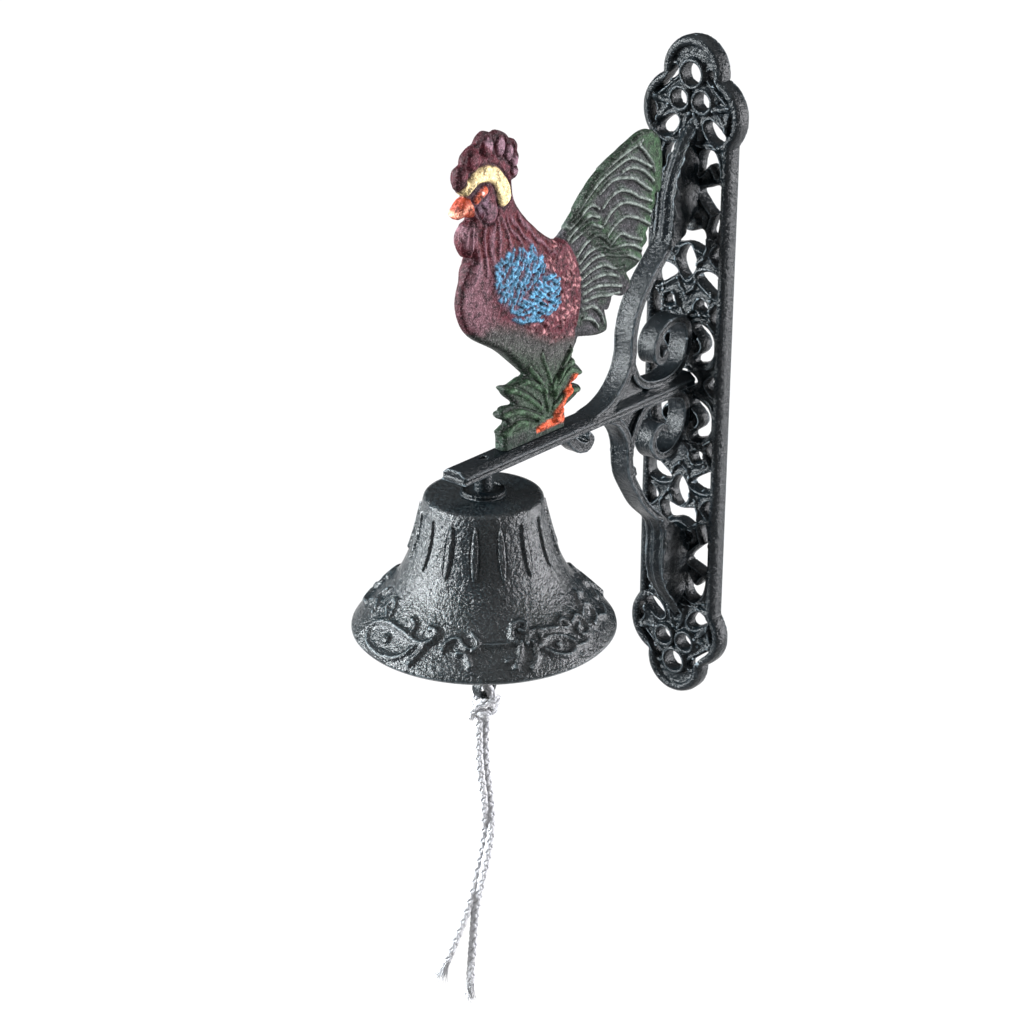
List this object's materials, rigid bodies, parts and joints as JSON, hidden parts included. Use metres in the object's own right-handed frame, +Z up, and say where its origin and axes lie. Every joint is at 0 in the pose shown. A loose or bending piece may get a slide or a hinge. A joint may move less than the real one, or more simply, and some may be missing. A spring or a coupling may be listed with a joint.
{
  "type": "wall mounted bell",
  "caption": "Cast-iron wall bell: pierced back plate, scroll bracket with a painted rooster, hanging bell, swinging clapper and a white pull rope.",
  "frame": {"origin": "centre of the wall plate's back face, midway between the two wall-screw holes", "axes": "+X across the plate to the right as seen from the front, +Y into the wall (the object stands out towards -Y), +Z up"},
  "size_m": [0.1104, 0.1959, 0.4152],
  "materials": {
    "iron_paint": "satin green-black paint on sand-cast iron",
    "rooster_paint": "hand-painted cast iron: burgundy, green, blue, cream and orange-red",
    "hardware": "black painted steel",
    "zinc_screw": "zinc plated, seen only from behind",
    "clapper_iron": "dark cast iron",
    "cotton_rope": "white braided cotton"
  },
  "bodies": {
    "frame": {"wall_plate": "iron_paint", "bracket": "iron_paint", "bracket_screws": "zinc_screw", "rooster": "rooster_paint", "rooster_screws": "hardware", "hanger_bolt": "hardware", "hanger_sleeve": "hardware", "crown_disc": "hardware", "bell": "iron_paint", "bell_washer": "zinc_screw", "bell_nut": "zinc_screw"},
    "link": {"clapper_link": "hardware"},
    "clapper": {"clapper_rod": "clapper_iron", "clapper_ball": "clapper_iron"},
    "rope": {"rope_hitch": "cotton_rope", "rope_knot": "cotton_rope", "rope_strand_a": "cotton_rope", "rope_strand_b": "cotton_rope", "rope_end_a": "cotton_rope", "rope_end_b": "cotton_rope"}
  },
  "joints": [
    {"name": "link_swing", "type": "hinge", "parent": "frame", "child": "link", "pos_m": [0, -0.1407, -0.02635], "axis": [1, 0, 0], "range_deg": [-36, 36]},
    {"name": "clapper_swing", "type": "hinge", "parent": "link", "child": "clapper", "pos_m": [0, -0.1407, -0.034], "axis": [0, 1, 0], "range_deg": [-18, 18]},
    {"name": "rope_swing", "type": "hinge", "parent": "clapper", "child": "rope", "pos_m": [0, -0.1407, -0.0984], "axis": [1, 0, 0], "range_deg": [-40, 40]}
  ]
}
